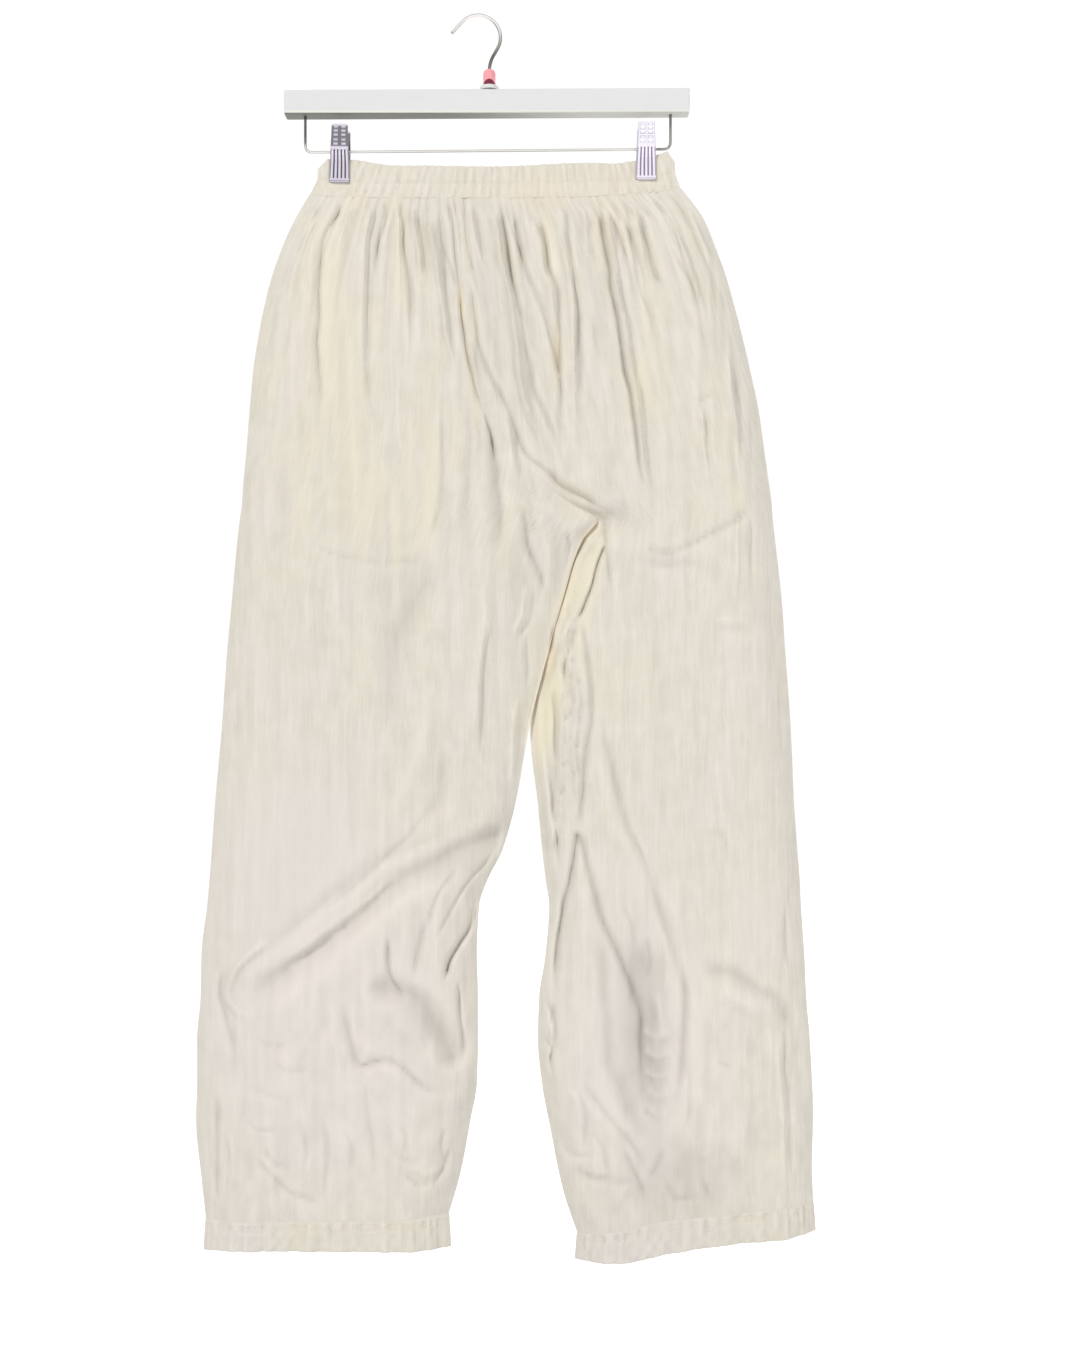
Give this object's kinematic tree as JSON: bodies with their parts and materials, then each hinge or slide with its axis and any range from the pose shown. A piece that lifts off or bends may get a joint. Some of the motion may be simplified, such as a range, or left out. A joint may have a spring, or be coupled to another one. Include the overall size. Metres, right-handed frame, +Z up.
{
  "type": "gauze trousers on a clip hanger",
  "caption": "Wide gauze trousers with a gathered elastic waist, pocket bags and plain hems, held flat at the waistband by the spring clips of a bar hanger.",
  "frame": {"origin": "inside top of the hanger's hook, where a rail carries it", "axes": "+Z up, -Y out of the front of the trousers, +X to the right of someone facing the front"},
  "size_m": [0.5505, 0.0401, 1.1068],
  "materials": {
    "gauze": "crinkled cream double gauze, matt and slightly see-through",
    "white_paint": "smooth white paint with a soft gloss",
    "chrome": "polished",
    "pink_plastic": "salmon pink, satin"
  },
  "bodies": {
    "root": {"front_left": "gauze", "front_right": "gauze", "back_left": "gauze", "back_right": "gauze", "waistband_front": "gauze", "waistband_back": "gauze", "pocket_bag_left": "gauze", "pocket_bag_right": "gauze", "hem_left": "gauze", "hem_right": "gauze", "hanger_bar": "white_paint", "hook_collar": "white_paint", "hanger_hook": "chrome", "clip_rod": "chrome", "clip_left_front": "chrome", "clip_left_back": "chrome", "clip_left_spring": "chrome", "clip_right_front": "chrome", "clip_right_back": "chrome", "clip_right_spring": "chrome", "hook_sleeve": "pink_plastic"}
  },
  "joints": []
}
